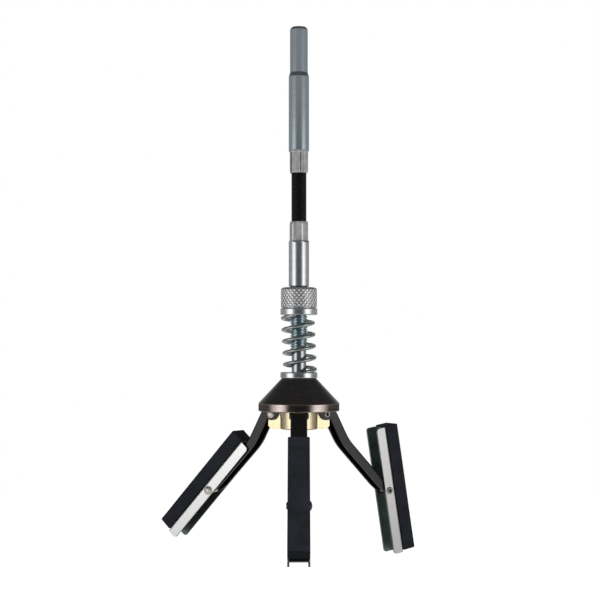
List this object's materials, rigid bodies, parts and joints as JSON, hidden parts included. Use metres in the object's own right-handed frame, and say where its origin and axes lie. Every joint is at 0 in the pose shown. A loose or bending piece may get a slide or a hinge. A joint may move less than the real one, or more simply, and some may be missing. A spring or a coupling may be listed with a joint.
{
  "type": "cylinder hone",
  "caption": "Flexible-shaft cylinder hone: spring-loaded arms on a cone and hub spread swivelling stone holders, with a knurled tension nut and a plain drill shank.",
  "frame": {"origin": "on the shank's axis, at the shoulder where the plain shank ends", "axes": "+Z along the shank, away from the stones; -Y towards the front arm"},
  "size_m": [0.1026, 0.0967, 0.2083],
  "materials": {
    "shank_steel": "turned and satin",
    "cable_steel": "drawn wire",
    "cable_black": "blackened wound wire",
    "spindle_steel": "bright zinc with a blue tint",
    "nut_steel": "diamond knurl, bright zinc",
    "washer_steel": "turned, bright zinc",
    "spring_steel": "plated spring wire",
    "cone_black": "black oxide, satin",
    "hub_brass": "machined and pale",
    "arm_black": "black oxide, satin",
    "pin_steel": "bright heads",
    "holder_zinc": "zinc plated sheet with drawn grain",
    "stone_dark": "fine dark abrasive grain"
  },
  "bodies": {
    "chuck_end": {"drive_shank": "shank_steel"},
    "cable": {"cable_core": "cable_steel", "cable_winding": "cable_black"},
    "spindle": {"spindle": "spindle_steel", "hub": "hub_brass", "hub_pin_front": "pin_steel", "hub_pin_left": "pin_steel", "hub_pin_right": "pin_steel"},
    "upper_washer": {"upper_washer": "washer_steel"},
    "knurled_nut": {"knurled_nut": "nut_steel"},
    "cone": {"cone": "cone_black", "lower_washer": "washer_steel", "spring": "spring_steel"},
    "arm_front": {"arm_front": "arm_black"},
    "arm_left": {"arm_left": "arm_black"},
    "arm_right": {"arm_right": "arm_black"},
    "holder_front": {"holder_front": "holder_zinc", "rivet_front": "pin_steel", "stone_front": "stone_dark"},
    "holder_left": {"holder_left": "holder_zinc", "rivet_left": "pin_steel", "stone_left": "stone_dark"},
    "holder_right": {"holder_right": "holder_zinc", "rivet_right": "pin_steel", "stone_right": "stone_dark"}
  },
  "joints": [
    {"name": "flex_side", "type": "hinge", "parent": "chuck_end", "child": "cable", "pos_m": [0, 0, -0.0441], "axis": [0, 1, 0], "range_deg": [-12, 12], "stiffness_Nm_per_rad": 0.8, "deforming": ["cable_winding", "cable_core"]},
    {"name": "flex_front", "type": "hinge", "parent": "cable", "child": "spindle", "pos_m": [0, 0, -0.0536], "axis": [1, 0, 0], "range_deg": [-12, 12], "stiffness_Nm_per_rad": 0.8, "deforming": ["cable_winding", "cable_core"]},
    {"name": "collar_travel", "type": "slide", "parent": "spindle", "child": "upper_washer", "axis": [0, 0, -1], "range_m": [0, 0.01], "deforming": ["spring"]},
    {"name": "nut_turn", "type": "hinge", "parent": "upper_washer", "child": "knurled_nut", "pos_m": [0, 0, -0.09215], "axis": [0, 0, -1], "range_deg": [0, 3600]},
    {"name": "cone_slide", "type": "slide", "parent": "spindle", "child": "cone", "axis": [0, 0, -1], "range_m": [-0.00117, 0], "stiffness_N_per_m": 5800, "springref_m": 0.003, "deforming": ["spring"]},
    {"name": "arm_front_swing", "type": "hinge", "parent": "spindle", "child": "arm_front", "pos_m": [0, -0.01085, -0.13366], "axis": [-1, 0, 0], "range_deg": [-44, 0]},
    {"name": "arm_left_swing", "type": "hinge", "parent": "spindle", "child": "arm_left", "pos_m": [-0.0094, 0.00543, -0.13366], "axis": [0.5, 0.866, 0], "range_deg": [-44, 0]},
    {"name": "arm_right_swing", "type": "hinge", "parent": "spindle", "child": "arm_right", "pos_m": [0.0094, 0.00543, -0.13366], "axis": [0.5, -0.866, 0], "range_deg": [-44, 0]},
    {"name": "holder_front_swivel", "type": "hinge", "parent": "arm_front", "child": "holder_front", "pos_m": [0, -0.03955, -0.16487], "axis": [1, 0, 0], "range_deg": [-2.25, 157.75]},
    {"name": "holder_left_swivel", "type": "hinge", "parent": "arm_left", "child": "holder_left", "pos_m": [-0.03425, 0.01978, -0.16487], "axis": [-0.5, -0.866, 0], "range_deg": [-1.03, 158.97]},
    {"name": "holder_right_swivel", "type": "hinge", "parent": "arm_right", "child": "holder_right", "pos_m": [0.03425, 0.01978, -0.16487], "axis": [-0.5, 0.866, 0], "range_deg": [-34.46, 125.54]}
  ],
  "couplings": [
    {"joint": "nut_turn", "follows": "collar_travel", "rad_per_m": 6283.2},
    {"joint": "arm_front_swing", "follows": "cone_slide", "rad_per_m": 653.59},
    {"joint": "arm_left_swing", "follows": "cone_slide", "rad_per_m": 653.59},
    {"joint": "arm_right_swing", "follows": "cone_slide", "rad_per_m": 653.59}
  ]
}
